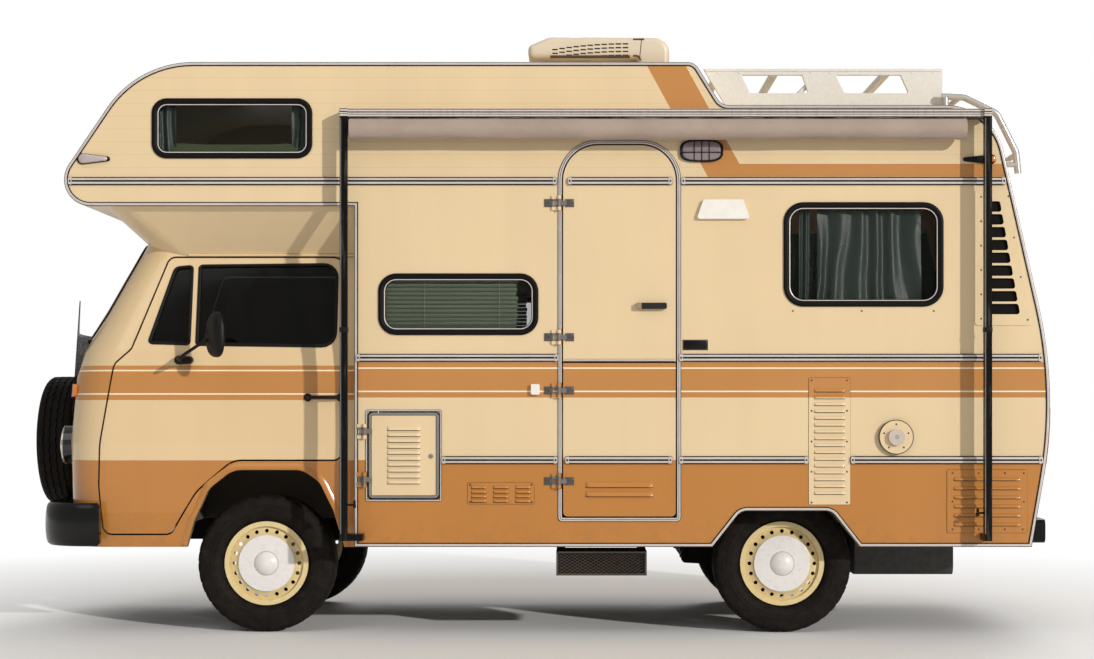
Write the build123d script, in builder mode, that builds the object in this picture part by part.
from build123d import *
from math import atan2, cos, degrees, radians, sin
import os

# A small motorhome: a rear-engined van cab with a box coach behind and a bed alcove above.
# X runs to the rear, Y to the right-hand side as seen from behind, Z up; the ground is Z = 0.
# The origin lies on the ground, half way between the axles, on the centre line.
# Lengths are in millimetres.

# Driving sizes
wheelbase = 2400
front_track = 1385
rear_track = 1425
coach_width = 1940
cab_width = 1724
roof_height = 2620
roof_step_drop = 196
low_roof_height = roof_height - roof_step_drop
alcove_floor_height = 1963
skirt_height = 410
floor_height = 500
tyre_radius = 320
tyre_width = 185

# Walls, panes and running clearances
coach_wall = 30
cab_wall = 40
pane_thickness = 6
pane_inset = 12
seat_clearance = 0.3
door_clearance = 8
cut_overrun = 60

front_axle_x = -wheelbase / 2
rear_axle_x = wheelbase / 2
coach_half = coach_width / 2
cab_half = cab_width / 2
wall_inner = coach_half - coach_wall

# Coach outline seen from the side
cab_back_setback = 431
coach_front_x = front_axle_x + cab_back_setback
alcove_reach = 1430
alcove_tip_x = coach_front_x - alcove_reach
alcove_slant_run = 444
alcove_tip_radius = 122
alcove_brow_radius = 474
roof_step_from_front = 1552
roof_step_x = coach_front_x + roof_step_from_front
roof_step_run = 122
rear_overhang = 1119
rear_waist_overhang = 1242
rear_top_overhang = 942
rear_waist_height = 1117
rear_waist_radius = 2000
rear_top_radius = 270
arch_corner = 60
rear_arch_half_bottom = 335
rear_arch_half_top = 206
rear_arch_height = 574

# Cab outline
nose_reach = 995
cab_top_height = 1835
gutter_height = 1754
cab_nose_x = front_axle_x - nose_reach
cab_length = coach_front_x - cab_nose_x


os.makedirs("parts", exist_ok=True)


def finish(part, name):
    """Labels a finished piece and writes it out."""
    part.label = name
    export_step(part, f"parts/{name}.step")


def cab_x(share):
    """A place along the cab, from the nose at 0 to the coach front at 1."""
    return cab_nose_x + share * cab_length


def cab_z(share):
    """A height on the cab, from the ground at 0 to the cab's top at 1."""
    return share * cab_top_height


def side_plane(y):
    """The upright plane at y whose own axes are X and Z; it faces the left side."""
    return Plane.XZ.offset(-y)


def outline(plane, points, radii, grow=0):
    """The face on a plane inside the closed outline through the points, its corners rounded."""
    with BuildSketch(plane) as face:
        with BuildLine():
            FilletPolyline(*points, radius=radii, close=True)
        make_face()
        if grow:
            offset(amount=grow, kind=Kind.INTERSECTION)
    return face.sketch


def cab_points(shares):
    """Turns rows of cab shares (along, up) into points of the side view."""
    return [(cab_x(along_share), cab_z(up_share)) for along_share, up_share in shares]


# Cab sections, from the sill up. Columns: height, nose setback, corner setback, half width,
# corner radius. Height is a share of the cab's top, setbacks of its length, the rest of half its width.
cab_section_shares = [
    (0.218, 0.0386, 0.095, 0.954, 0.197),
    (0.305, 0.0140, 0.077, 0.986, 0.220),
    (0.480, 0.0000, 0.074, 1.000, 0.255),
    (0.647, 0.0070, 0.101, 0.998, 0.267),
    (0.712, 0.0215, 0.133, 0.983, 0.267),
    (1.000, 0.2468, 0.319, 0.838, 0.197),
]


def nose_section(height, nose_x, corner_x, half, radius, back_x):
    """One level outline of the cab: a bowed front, rounded corners and straight sides."""
    with BuildSketch(Plane.XY.offset(height)) as section:
        with BuildLine():
            ThreePointArc((corner_x, -half), (nose_x, 0), (corner_x, half))
            Polyline((corner_x, half), (back_x, half), (back_x, -half), (corner_x, -half))
        make_face()
        fillet(section.vertices().sort_by(Axis.X)[:2], radius=radius)
    return section.sketch.face()


def cab_solid(inset, back_overrun=0, end_overrun=0):
    """The cab's closed form, its front and sides moved inward by inset, run on past its open ends."""
    rows = [(cab_z(row[0]), *row[1:]) for row in cab_section_shares]
    if end_overrun:
        rows.insert(0, (rows[0][0] - end_overrun, *rows[0][1:]))
        rows.append((rows[-1][0] + end_overrun, *rows[-1][1:]))
    sections = []
    for height, nose_share, corner_share, half_share, radius_share in rows:
        section = nose_section(
            height,
            cab_x(nose_share) + inset,
            cab_x(corner_share) + inset,
            half_share * cab_half - inset,
            radius_share * cab_half - inset,
            coach_front_x + back_overrun,
        )
        sections.append(section)
    with BuildPart() as form:
        loft(sections, ruled=True)
    return form.part


cab_outer = cab_solid(0)
cab_hollow = cab_solid(cab_wall, back_overrun=cut_overrun, end_overrun=cut_overrun)

# Cab door outline along its gap. Columns: along, up, corner radius share of the cab's length
cab_door_shares = [
    (0.380, 0.952, 0.030),
    (0.269, 0.717, 0.040),
    (0.214, 0.679, 0.040),
    (0.168, 0.478, 0.300),
    (0.164, 0.373, 0.200),
    (0.177, 0.250, 0.030),
    (0.395, 0.250, 0.030),
    (0.480, 0.3586, 0.120),
    (0.598, 0.437, 0.080),
    (0.954, 0.437, 0.030),
    (0.954, 0.952, 0.040),
]
# Front wheel arch, whose foot runs out below the sill. Columns as above
front_arch_shares = [
    (0.436, 0.195, 0.0),
    (0.471, 0.282, 0.100),
    (0.521, 0.3657, 0.060),
    (0.598, 0.4125, 0.080),
    (0.825, 0.4125, 0.080),
    (0.878, 0.383, 0.050),
    (0.924, 0.3095, 0.100),
    (0.965, 0.195, 0.0),
]
# Quarter light and main pane of a cab door. Columns as above
quarter_light_shares = [
    (0.323, 0.732, 0.010),
    (0.456, 0.729, 0.010),
    (0.456, 0.929, 0.010),
    (0.400, 0.925, 0.020),
]
door_pane_shares = [
    (0.479, 0.728, 0.010),
    (0.930, 0.723, 0.045),
    (0.930, 0.934, 0.045),
    (0.479, 0.930, 0.010),
]


def cab_prism(shares, grow, reach=coach_half):
    """A prism across the whole cab with the given side outline, grown all round."""
    points = cab_points([row[:2] for row in shares])
    radii = [row[2] * cab_length for row in shares]
    with BuildPart() as prism:
        extrude(outline(side_plane(reach), points, radii, grow), amount=2 * reach)
    return prism.part


door_cut = cab_prism(cab_door_shares, door_clearance / 2)
arch_cut = cab_prism(front_arch_shares, 0)

# Windscreen seen from the front
screen_bottom_height = 1385
screen_top_height = 1800
screen_half_bottom = 700
screen_half_top = 600
screen_corner = 90
screen_depth_share = 0.38


def screen_prism(grow):
    """A prism along the cab's front with the windscreen's outline."""
    corners = [
        (-screen_half_bottom, screen_bottom_height),
        (screen_half_bottom, screen_bottom_height),
        (screen_half_top, screen_top_height),
        (-screen_half_top, screen_top_height),
    ]
    face = outline(Plane.YZ.offset(cab_nose_x - cut_overrun), corners, screen_corner, grow)
    with BuildPart() as prism:
        extrude(face, amount=cab_x(screen_depth_share) - cab_nose_x + cut_overrun)
    return prism.part


# Round headlamps let into the nose
headlamp_radius = 90
headlamp_height = 870
headlamp_side = 600
headlamp_depth = 70
headlamp_front_share = 0.016
headlamp_front_x = cab_x(headlamp_front_share)

# Chassis rails, which pass under the walls and floors, and the bumper brackets on their ends
rail_inner = 330
rail_width = 70
rail_height = 90
rail_front_share = 0.12
rail_front_x = cab_x(rail_front_share)
rail_back_from_rear_axle = 1000
rail_back_x = rear_axle_x + rail_back_from_rear_axle
bumper_bracket = 30
nose_cut_share = 0.15

with BuildPart() as cab_shell:
    add(cab_outer)
    add(cab_hollow, mode=Mode.SUBTRACT)
    add(door_cut, mode=Mode.SUBTRACT)
    add(arch_cut, mode=Mode.SUBTRACT)
    add(screen_prism(0), mode=Mode.SUBTRACT)
    with BuildSketch(Plane.YZ.offset(cab_nose_x - cut_overrun)):
        with Locations((-headlamp_side, headlamp_height), (headlamp_side, headlamp_height)):
            Circle(headlamp_radius + seat_clearance)
        for side in (-1, 1):
            with Locations((side * (rail_inner + rail_width / 2), floor_height - rail_height / 2)):
                Rectangle(bumper_bracket + 2 * seat_clearance, bumper_bracket + 2 * seat_clearance)
    extrude(amount=cab_x(nose_cut_share) - cab_nose_x + cut_overrun, mode=Mode.SUBTRACT)
finish(cab_shell.part, "cab_shell")

pane_layer = cab_solid(pane_inset) - cab_solid(pane_inset + pane_thickness, cut_overrun, cut_overrun)

with BuildPart() as windscreen:
    add(pane_layer)
    add(screen_prism(-seat_clearance), mode=Mode.INTERSECT)
finish(windscreen.part, "windscreen")


# Cab doors with their panes and mirrors
half_space = Box(
    2 * wheelbase, coach_width, 2 * roof_height, align=(Align.CENTER, Align.MAX, Align.CENTER)
)
mirror_base_share = 0.440
mirror_base_x = cab_x(mirror_base_share)
mirror_base_height = 1264
mirror_base_length = 90
mirror_base_depth = 40
mirror_head_share = 0.560
mirror_head_x = cab_x(mirror_head_share)
mirror_head_height = 1376
mirror_head_length = 50
mirror_head_width = 150
mirror_head_tall = 230
mirror_outer = 1120
mirror_arm_radius = 8

with BuildPart() as cab_door_left:
    add(cab_outer)
    add(cab_hollow, mode=Mode.SUBTRACT)
    add(cab_prism(cab_door_shares, -door_clearance / 2), mode=Mode.INTERSECT)
    add(half_space, mode=Mode.INTERSECT)
    add(cab_prism(quarter_light_shares, 0), mode=Mode.SUBTRACT)
    add(cab_prism(door_pane_shares, 0), mode=Mode.SUBTRACT)

with BuildPart() as door_glass_left:
    for pane_shares in (quarter_light_shares, door_pane_shares):
        pane = pane_layer & cab_prism(pane_shares, -seat_clearance) & half_space
        add(pane)

mirror_head_y = -(mirror_outer - mirror_head_width / 2)
with BuildPart() as door_mirror_left:
    with BuildSketch(side_plane(-cab_half - mirror_base_depth)):
        with Locations((mirror_base_x, mirror_base_height)):
            SlotOverall(mirror_base_length, mirror_base_depth)
    extrude(amount=-mirror_base_depth - cab_wall / 2)
    add(cab_outer, mode=Mode.SUBTRACT)
    with BuildLine() as mirror_arm:
        FilletPolyline(
            (mirror_base_x, -cab_half - mirror_base_depth / 2, mirror_base_height),
            (mirror_base_x, mirror_head_y, mirror_base_height),
            (mirror_head_x, mirror_head_y, mirror_head_height),
            radius=mirror_base_depth,
        )
    with BuildSketch(mirror_arm.line ^ 0):
        Circle(mirror_arm_radius)
    sweep(path=mirror_arm.line)
    with BuildSketch(Plane.YZ.offset(mirror_head_x - mirror_head_length / 2)):
        with Locations((mirror_head_y, mirror_head_height)):
            RectangleRounded(mirror_head_width, mirror_head_tall, mirror_head_length)
    extrude(amount=mirror_head_length)

for part, name in (
    (cab_door_left.part, "cab_door"),
    (door_glass_left.part, "door_glass"),
    (door_mirror_left.part, "door_mirror"),
):
    finish(part, name + "_left")
    finish(mirror(part, about=Plane.XZ), name + "_right")


# Coach side outline, the walls and the wrapped panels between them
coach_corners = [
    (coach_front_x, skirt_height),
    (rear_axle_x - rear_arch_half_bottom, skirt_height),
    (rear_axle_x - rear_arch_half_top, rear_arch_height),
    (rear_axle_x + rear_arch_half_top, rear_arch_height),
    (rear_axle_x + rear_arch_half_bottom, skirt_height),
    (rear_axle_x + rear_overhang, skirt_height),
    (rear_axle_x + rear_waist_overhang, rear_waist_height),
    (rear_axle_x + rear_top_overhang, low_roof_height),
    (roof_step_x + roof_step_run, low_roof_height),
    (roof_step_x, roof_height),
    (alcove_tip_x + alcove_slant_run, roof_height),
    (alcove_tip_x, alcove_floor_height),
    (coach_front_x, alcove_floor_height),
]
coach_radii = [
    0,
    0,
    arch_corner,
    arch_corner,
    0,
    0,
    rear_waist_radius,
    rear_top_radius,
    arch_corner,
    arch_corner,
    alcove_brow_radius,
    alcove_tip_radius,
    0,
]
# The wrap leaves out the arch, so that the floor and the rear wall follow one plain outline
wrap_corners = [coach_corners[0]] + coach_corners[5:]
wrap_radii = [coach_radii[0]] + coach_radii[5:]

wrap_face = outline(side_plane(wall_inner), wrap_corners, wrap_radii)
wrap_hollow_face = outline(side_plane(wall_inner), wrap_corners, wrap_radii, -coach_wall)
with BuildPart() as wrap_solid:
    extrude(wrap_face, amount=2 * wall_inner)
with BuildPart() as wrap_hollow:
    extrude(wrap_hollow_face, amount=2 * wall_inner)


def region(low_x, high_x, low_z, high_z, half=coach_half):
    """A block across the vehicle between two places along it and two heights."""
    block = Box(high_x - low_x, 2 * half, high_z - low_z, mode=Mode.PRIVATE)
    return Pos((low_x + high_x) / 2, 0, (low_z + high_z) / 2) * block


far_x = rear_axle_x + rear_waist_overhang + cut_overrun
roof_line = roof_height + cut_overrun

# Windows, doors and lockers in the left wall. Sizes, then places measured from the coach front
alcove_window_length = 724
alcove_window_height = 266
alcove_window_corner = 64
alcove_window_ahead_of_front = 556
alcove_window_x = coach_front_x - alcove_window_ahead_of_front
alcove_window_above_alcove_floor = 354
alcove_window_z = alcove_floor_height + alcove_window_above_alcove_floor
blind_window_length = 722
blind_window_height = 273
blind_window_corner = 78
blind_window_from_front = 475
blind_window_x = coach_front_x + blind_window_from_front
blind_window_above_skirt = 1106
blind_window_z = skirt_height + blind_window_above_skirt
rear_window_length = 721
rear_window_height = 468
rear_window_corner = 87
rear_window_from_rear_axle = 352
rear_window_x = rear_axle_x + rear_window_from_rear_axle
rear_window_above_skirt = 1333
rear_window_z = skirt_height + rear_window_above_skirt
entrance_length = 513
entrance_bottom = 549
entrance_height = 1691
entrance_corner = 160
entrance_sill_corner = 20
entrance_from_front = 1209
entrance_x = coach_front_x + entrance_from_front
locker_length = 320
locker_height = 391
locker_corner = 20
locker_from_front = 226
locker_x = coach_front_x + locker_from_front
locker_above_skirt = 417
locker_z = skirt_height + locker_above_skirt
grille_top_height = 2027
grille_bottom_height = 1428
grille_front_from_rear_axle = 868
grille_front_x = rear_axle_x + grille_front_from_rear_axle
grille_margin = 70

# Side windows. Columns: place along, height of centre, length, height, corner radius
side_windows = [
    (alcove_window_x, alcove_window_z, alcove_window_length, alcove_window_height, alcove_window_corner),
    (blind_window_x, blind_window_z, blind_window_length, blind_window_height, blind_window_corner),
    (rear_window_x, rear_window_z, rear_window_length, rear_window_height, rear_window_corner),
]


def panel_prism(x, z, length, height, corner, grow=0, near=coach_half, depth=coach_wall):
    """A plate in the left wall's thickness with rounded corners, grown all round."""
    with BuildPart() as plate:
        with BuildSketch(side_plane(-near + depth)):
            with Locations((x, z)):
                RectangleRounded(length + 2 * grow, height + 2 * grow, corner + grow)
        extrude(amount=depth)
    return plate.part


def entrance_prism(grow):
    """The entrance door's plate, with large round corners at its head."""
    half = entrance_length / 2 + grow
    low = entrance_bottom - grow
    high = entrance_bottom + entrance_height + grow
    corners = [
        (entrance_x - half, low),
        (entrance_x + half, low),
        (entrance_x + half, high),
        (entrance_x - half, high),
    ]
    radii = [entrance_sill_corner, entrance_sill_corner, entrance_corner, entrance_corner]
    with BuildPart() as plate:
        extrude(outline(side_plane(-wall_inner), corners, radii), amount=coach_wall)
    return plate.part


def grille_face(grow):
    """The rear air intake's outline, whose back edge leans with the rear wall."""
    lean = (rear_waist_overhang - rear_top_overhang) / (low_roof_height - rear_waist_height)

    def back_edge(height):
        return rear_axle_x + rear_waist_overhang - grille_margin - lean * (height - rear_waist_height) + grow

    low = grille_bottom_height - grow
    high = grille_top_height + grow
    corners = [
        (grille_front_x - grow, low),
        (back_edge(low), low),
        (back_edge(high), high),
        (grille_front_x - grow, high),
    ]
    return outline(side_plane(-wall_inner), corners, entrance_sill_corner)


grille_face_open = grille_face(0)
wall_face = outline(side_plane(-wall_inner), coach_corners, coach_radii)

with BuildPart() as plain_wall:
    extrude(wall_face, amount=coach_wall)
    for x, z, length, height, corner in side_windows:
        add(panel_prism(x, z, length, height, corner), mode=Mode.SUBTRACT)
    extrude(grille_face_open, amount=coach_wall, mode=Mode.SUBTRACT)

# Hinges of the side doors: pinned barrels proud of the wall, ahead of the door's front edge
hinge_pin_radius = 4
hinge_barrel_radius = 8
hinge_stand = 16
hinge_leaf_length = 34
hinge_leaf_thickness = 10
hinge_leaf_step = 2
hinge_knuckle = 22
hinge_edge_gap = 18
hinge_y = -coach_half - hinge_stand


def hinge_half(edge_x, height, moving):
    """The wall's half of a hinge with its pin, or the door's half with the middle knuckle."""
    axis_x = edge_x - hinge_edge_gap
    knuckle_pitch = hinge_knuckle + seat_clearance
    with BuildPart() as half:
        for rise in (0,) if moving else (-knuckle_pitch, knuckle_pitch):
            with BuildSketch(Plane.XY.offset(height + rise - hinge_knuckle / 2)):
                with Locations((axis_x, hinge_y)):
                    Circle(hinge_barrel_radius)
                if moving:
                    bridge_thickness = hinge_leaf_thickness - hinge_leaf_step
                    with Locations((axis_x, -coach_half - hinge_leaf_step)):
                        Rectangle(hinge_leaf_length, bridge_thickness, align=(Align.MIN, Align.MAX))
                    with Locations((axis_x + hinge_leaf_length, -coach_half)):
                        pad_length = hinge_leaf_length - hinge_edge_gap
                        Rectangle(pad_length, hinge_leaf_thickness, align=(Align.MAX, Align.MAX))
                    with Locations((axis_x, hinge_y)):
                        Circle(hinge_pin_radius + seat_clearance, mode=Mode.SUBTRACT)
                else:
                    with Locations((axis_x, -coach_half)):
                        Rectangle(hinge_leaf_length, hinge_leaf_thickness, align=(Align.MAX, Align.MAX))
            extrude(amount=hinge_knuckle)
        if not moving:
            pin_length = 2 * knuckle_pitch + hinge_knuckle
            with BuildSketch(Plane.XY.offset(height - pin_length / 2)):
                with Locations((axis_x, hinge_y)):
                    Circle(hinge_pin_radius)
            extrude(amount=pin_length)
    return half.part


entrance_edge_x = entrance_x - entrance_length / 2
entrance_split_above_sill = 703
entrance_split_z = entrance_bottom + entrance_split_above_sill
upper_hinge_rises = [1428, 817]
lower_hinge_rises = [574, 161]
upper_hinge_heights = [entrance_bottom + rise for rise in upper_hinge_rises]
lower_hinge_heights = [entrance_bottom + rise for rise in lower_hinge_rises]
locker_edge_x = locker_x - locker_length / 2
locker_hinge_spread = 220
locker_hinge_heights = [locker_z - locker_hinge_spread / 2, locker_z + locker_hinge_spread / 2]

with BuildPart() as coach_wall_left:
    add(plain_wall.part)
    add(entrance_prism(door_clearance), mode=Mode.SUBTRACT)
    locker_cut = panel_prism(locker_x, locker_z, locker_length, locker_height, locker_corner, door_clearance)
    add(locker_cut, mode=Mode.SUBTRACT)
    for height in upper_hinge_heights + lower_hinge_heights:
        add(hinge_half(entrance_edge_x, height, False))
    for height in locker_hinge_heights:
        add(hinge_half(locker_edge_x, height, False))

finish(coach_wall_left.part, "coach_wall_left")
finish(mirror(plain_wall.part, about=Plane.XZ), "coach_wall_right")

# Entrance door in two halves, the vents in the lower and the handle on the upper
entrance_vent_length = 297
entrance_vent_height = 18
entrance_vent_pitch = 42
entrance_vent_above_sill = 101
entrance_vent_z = entrance_bottom + entrance_vent_above_sill
door_handle_length = 139
door_handle_height = 28
door_handle_proud = 25
door_handle_from_edge = 111
door_handle_above_sill = 959
door_handle_z = entrance_bottom + door_handle_above_sill
with BuildPart() as entrance_door_upper:
    add(entrance_prism(0))
    upper_low = entrance_split_z + door_clearance / 2
    add(region(coach_front_x, far_x, upper_low, roof_height), mode=Mode.INTERSECT)
    with BuildSketch(side_plane(-coach_half)):
        with Locations((entrance_x + entrance_length / 2 - door_handle_from_edge, door_handle_z)):
            RectangleRounded(door_handle_length, door_handle_height, door_handle_height / 4)
    extrude(amount=door_handle_proud)
    for height in upper_hinge_heights:
        add(hinge_half(entrance_edge_x, height, True))
finish(entrance_door_upper.part, "entrance_door_upper")

with BuildPart() as entrance_door_lower:
    add(entrance_prism(0))
    lower_high = entrance_split_z - door_clearance / 2
    add(region(coach_front_x, far_x, skirt_height, lower_high), mode=Mode.INTERSECT)
    with BuildSketch(side_plane(-wall_inner)):
        for row in range(2):
            with Locations((entrance_x, entrance_vent_z + row * entrance_vent_pitch)):
                SlotOverall(entrance_vent_length, entrance_vent_height)
    extrude(amount=coach_wall, mode=Mode.SUBTRACT)
    for height in lower_hinge_heights:
        add(hinge_half(entrance_edge_x, height, True))
finish(entrance_door_lower.part, "entrance_door_lower")

# Locker door with a column of louvre slots
locker_slot_count = 10
locker_slot_length = 143
locker_slot_height = 12
locker_slot_pitch = 27
with BuildPart() as locker_door:
    add(panel_prism(locker_x, locker_z, locker_length, locker_height, locker_corner))
    with BuildSketch(side_plane(-wall_inner)):
        with Locations((locker_x, locker_z)):
            with GridLocations(0, locker_slot_pitch, 1, locker_slot_count):
                SlotOverall(locker_slot_length, locker_slot_height)
    extrude(amount=coach_wall, mode=Mode.SUBTRACT)
    for height in locker_hinge_heights:
        add(hinge_half(locker_edge_x, height, True))
finish(locker_door.part, "locker_door")

# Coach window panes
coach_pane_depth = 10
with BuildPart() as coach_window_panes:
    for x, z, length, height, corner in side_windows:
        near = coach_half - coach_pane_depth
        pane = panel_prism(x, z, length, height, corner, -seat_clearance, near, pane_thickness)
        add(pane)
        add(mirror(pane, about=Plane.XZ))

# Rear wall with its window and the engine lid
back_window_width = 1300
back_window_z = rear_window_z
engine_lid_width = 1000
engine_lid_bottom = 560
engine_lid_top = 1020
shell_split_x = rear_axle_x + rear_arch_half_bottom


def back_prism(width, low_z, high_z, corner, grow):
    """A block through the rear wall with rounded corners seen from behind."""
    with BuildPart() as prism:
        with BuildSketch(Plane.YZ.offset(shell_split_x)):
            with Locations((0, (low_z + high_z) / 2)):
                RectangleRounded(width + 2 * grow, high_z - low_z + 2 * grow, corner + grow)
        extrude(amount=rear_waist_overhang)
    return prism.part


def back_window_prism(grow):
    """A block through the rear wall with the back window's outline."""
    low = back_window_z - rear_window_height / 2
    return back_prism(back_window_width, low, low + rear_window_height, rear_window_corner, grow)


def engine_lid_prism(grow):
    """A block through the rear wall with the engine lid's outline."""
    return back_prism(engine_lid_width, engine_lid_bottom, engine_lid_top, locker_corner, grow)


with BuildPart() as coach_rear_wall:
    add(wrap_solid.part)
    add(wrap_hollow.part, mode=Mode.SUBTRACT)
    rear_region = region(shell_split_x, far_x, skirt_height + coach_wall, low_roof_height - coach_wall)
    add(rear_region, mode=Mode.INTERSECT)
    add(back_window_prism(0), mode=Mode.SUBTRACT)
    add(engine_lid_prism(0), mode=Mode.SUBTRACT)
finish(coach_rear_wall.part, "coach_rear_wall")

with BuildPart() as engine_lid:
    add(wrap_solid.part)
    add(wrap_hollow.part, mode=Mode.SUBTRACT)
    add(engine_lid_prism(-door_clearance), mode=Mode.INTERSECT)
finish(engine_lid.part, "engine_lid")

# The back window's pane lies in the middle of the wall
pane_face_out = outline(side_plane(wall_inner), wrap_corners, wrap_radii, -coach_pane_depth)
pane_face_in = outline(side_plane(wall_inner), wrap_corners, wrap_radii, -coach_pane_depth - pane_thickness)
with BuildPart() as back_pane:
    extrude(pane_face_out, amount=2 * wall_inner)
    extrude(pane_face_in, amount=2 * wall_inner, mode=Mode.SUBTRACT)
    add(back_window_prism(-seat_clearance), mode=Mode.INTERSECT)
finish(coach_window_panes.part + back_pane.part, "coach_windows")

with BuildPart() as coach_roof:
    add(wrap_solid.part)
    add(wrap_hollow.part, mode=Mode.SUBTRACT)
    roof_region = region(alcove_tip_x, shell_split_x, alcove_floor_height + coach_wall, roof_line)
    add(roof_region, mode=Mode.INTERSECT)
    rear_strip = region(shell_split_x, far_x, low_roof_height - coach_wall, roof_line)
    rear_roof = (wrap_solid.part - wrap_hollow.part) & rear_strip
    add(rear_roof)
finish(coach_roof.part, "coach_roof")

with BuildPart() as alcove_floor:
    add(wrap_solid.part)
    tip_region = region(alcove_tip_x, coach_front_x, alcove_floor_height, alcove_floor_height + coach_wall)
    add(tip_region, mode=Mode.INTERSECT)
finish(alcove_floor.part, "alcove_floor")

# Front wall of the coach, open to the cab and above it
passage_half = 600
passage_bottom_above_floor = 40
passage_bottom = floor_height + passage_bottom_above_floor
passage_top_below_alcove_floor = 60
passage_top = alcove_floor_height - passage_top_below_alcove_floor
passage_corner = 120
with BuildPart() as coach_front_wall:
    with BuildSketch(Plane.YZ.offset(coach_front_x)):
        with Locations((0, (skirt_height + alcove_floor_height) / 2)):
            Rectangle(2 * wall_inner, alcove_floor_height - skirt_height)
        with Locations((0, (passage_bottom + passage_top) / 2)):
            passage_height = passage_top - passage_bottom
            RectangleRounded(2 * passage_half, passage_height, passage_corner, mode=Mode.SUBTRACT)
        with Locations((0, skirt_height + rail_height / 2)):
            Rectangle(2 * (rail_inner + rail_width + seat_clearance), rail_height, mode=Mode.SUBTRACT)
    extrude(amount=coach_wall)
finish(coach_front_wall.part, "coach_front_wall")

# Coach floor with wheel boxes and a raised engine deck
floor_thickness = 40
deck_front_from_rear_axle = 360
deck_front_x = rear_axle_x + deck_front_from_rear_axle
deck_height = 860
wheel_box_half = 400
wheel_box_room = 60
wheel_box_inner = (rear_track - tyre_width) / 2 - wheel_box_room
wheel_box_top = 740
box_sheet = 20
floor_front_x = coach_front_x + coach_wall
coach_floor_top = floor_height + floor_thickness
floor_outline = outline(side_plane(wall_inner), wrap_corners, wrap_radii, -coach_wall - seat_clearance)
with BuildPart() as coach_floor:
    extrude(floor_outline, amount=2 * wall_inner)
    plate = region(floor_front_x, deck_front_x, floor_height, coach_floor_top, wall_inner)
    riser = region(deck_front_x - box_sheet, deck_front_x, floor_height, deck_height, wall_inner)
    deck = region(deck_front_x - box_sheet, far_x, deck_height - floor_thickness, deck_height, wall_inner)
    box_low_x = rear_axle_x - wheel_box_half
    box_high_x = deck_front_x
    boxes = region(box_low_x, box_high_x, floor_height, wheel_box_top, wall_inner)
    boxes -= region(box_low_x, box_high_x, floor_height, wheel_box_top, wheel_box_inner)
    add(plate + riser + deck + boxes, mode=Mode.INTERSECT)
    well = region(
        box_low_x + box_sheet, box_high_x - box_sheet, skirt_height, wheel_box_top - box_sheet, wall_inner
    )
    well -= region(box_low_x, box_high_x, skirt_height, wheel_box_top, wheel_box_inner + box_sheet)
    add(well, mode=Mode.SUBTRACT)
finish(coach_floor.part, "coach_floor")

# Flared fairing between the cab's gutter and the alcove floor
fairing_wall = 25
fairing_visor_rise = 3
fairing_visor_height = cab_top_height + fairing_visor_rise
fairing_visor_share = 0.2468
fairing_visor_x = cab_x(fairing_visor_share)
fairing_gutter_share = 0.400
fairing_gutter_x = cab_x(fairing_gutter_share)
gutter_half = 743
fairing_gutter_corner = 147
fairing_top_corner = 129
# Nose and corner of the fairing's two levels, as shares of the cab's length
fairing_nose_shares = [0.302, 0.151]
fairing_corner_shares = [0.362, 0.207]
# Columns: height, half width, corner radius
fairing_levels = [
    (gutter_height, gutter_half, fairing_gutter_corner),
    (alcove_floor_height, wall_inner, fairing_top_corner),
]


def fairing_solid(inset, back_overrun=0):
    """The fairing's closed form, its front and sides moved inward by inset."""
    sections = []
    for level, nose_share, corner_share in zip(fairing_levels, fairing_nose_shares, fairing_corner_shares):
        height, half, radius = level
        nose_x = cab_x(nose_share) + inset
        corner_x = cab_x(corner_share) + inset
        section = nose_section(height, nose_x, corner_x, half - inset, radius, coach_front_x + back_overrun)
        sections.append(section)
    with BuildPart() as form:
        loft(sections, ruled=True)
    return form.part


def visor_prism(lift):
    """All that lies above the gutter line, which rises to the windscreen's head, moved up by lift."""
    corners = [
        (coach_front_x + cut_overrun, gutter_height + lift),
        (fairing_gutter_x, gutter_height + lift),
        (fairing_visor_x, fairing_visor_height + lift),
        (alcove_tip_x, fairing_visor_height + lift),
        (alcove_tip_x, alcove_floor_height + cut_overrun),
        (coach_front_x + cut_overrun, alcove_floor_height + cut_overrun),
    ]
    with BuildPart() as prism:
        extrude(outline(side_plane(coach_half), corners, 0), amount=2 * coach_half)
    return prism.part


with BuildPart() as cab_fairing:
    add(fairing_solid(0))
    add(visor_prism(0), mode=Mode.INTERSECT)
    add(fairing_solid(fairing_wall, cut_overrun) & visor_prism(fairing_wall), mode=Mode.SUBTRACT)
    add(cab_solid(-seat_clearance, cut_overrun, 0), mode=Mode.SUBTRACT)
finish(cab_fairing.part, "cab_fairing")

# Cab floor with the wheel boxes that carry the seats
cab_sheet = 10
cab_box_half = 400
cab_box_inner = 180
cab_box_top = 790
cab_floor_top_above_floor = 30
cab_floor_top = floor_height + cab_floor_top_above_floor
with BuildPart() as cab_floor:
    add(cab_solid(cab_wall + seat_clearance))
    plate = region(cab_nose_x, coach_front_x, floor_height, cab_floor_top, cab_half)
    low_x = front_axle_x - cab_box_half
    high_x = front_axle_x + cab_box_half
    boxes = region(low_x, high_x, floor_height, cab_box_top, cab_half)
    boxes -= region(low_x, high_x, floor_height, cab_box_top, cab_box_inner)
    add(plate + boxes, mode=Mode.INTERSECT)
    low_x += cab_sheet
    high_x -= cab_sheet
    well = region(low_x, high_x, skirt_height, cab_box_top - cab_sheet, cab_half)
    well -= region(low_x, high_x, skirt_height, cab_box_top, cab_box_inner + cab_sheet)
    add(well, mode=Mode.SUBTRACT)
finish(cab_floor.part, "cab_floor")

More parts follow.
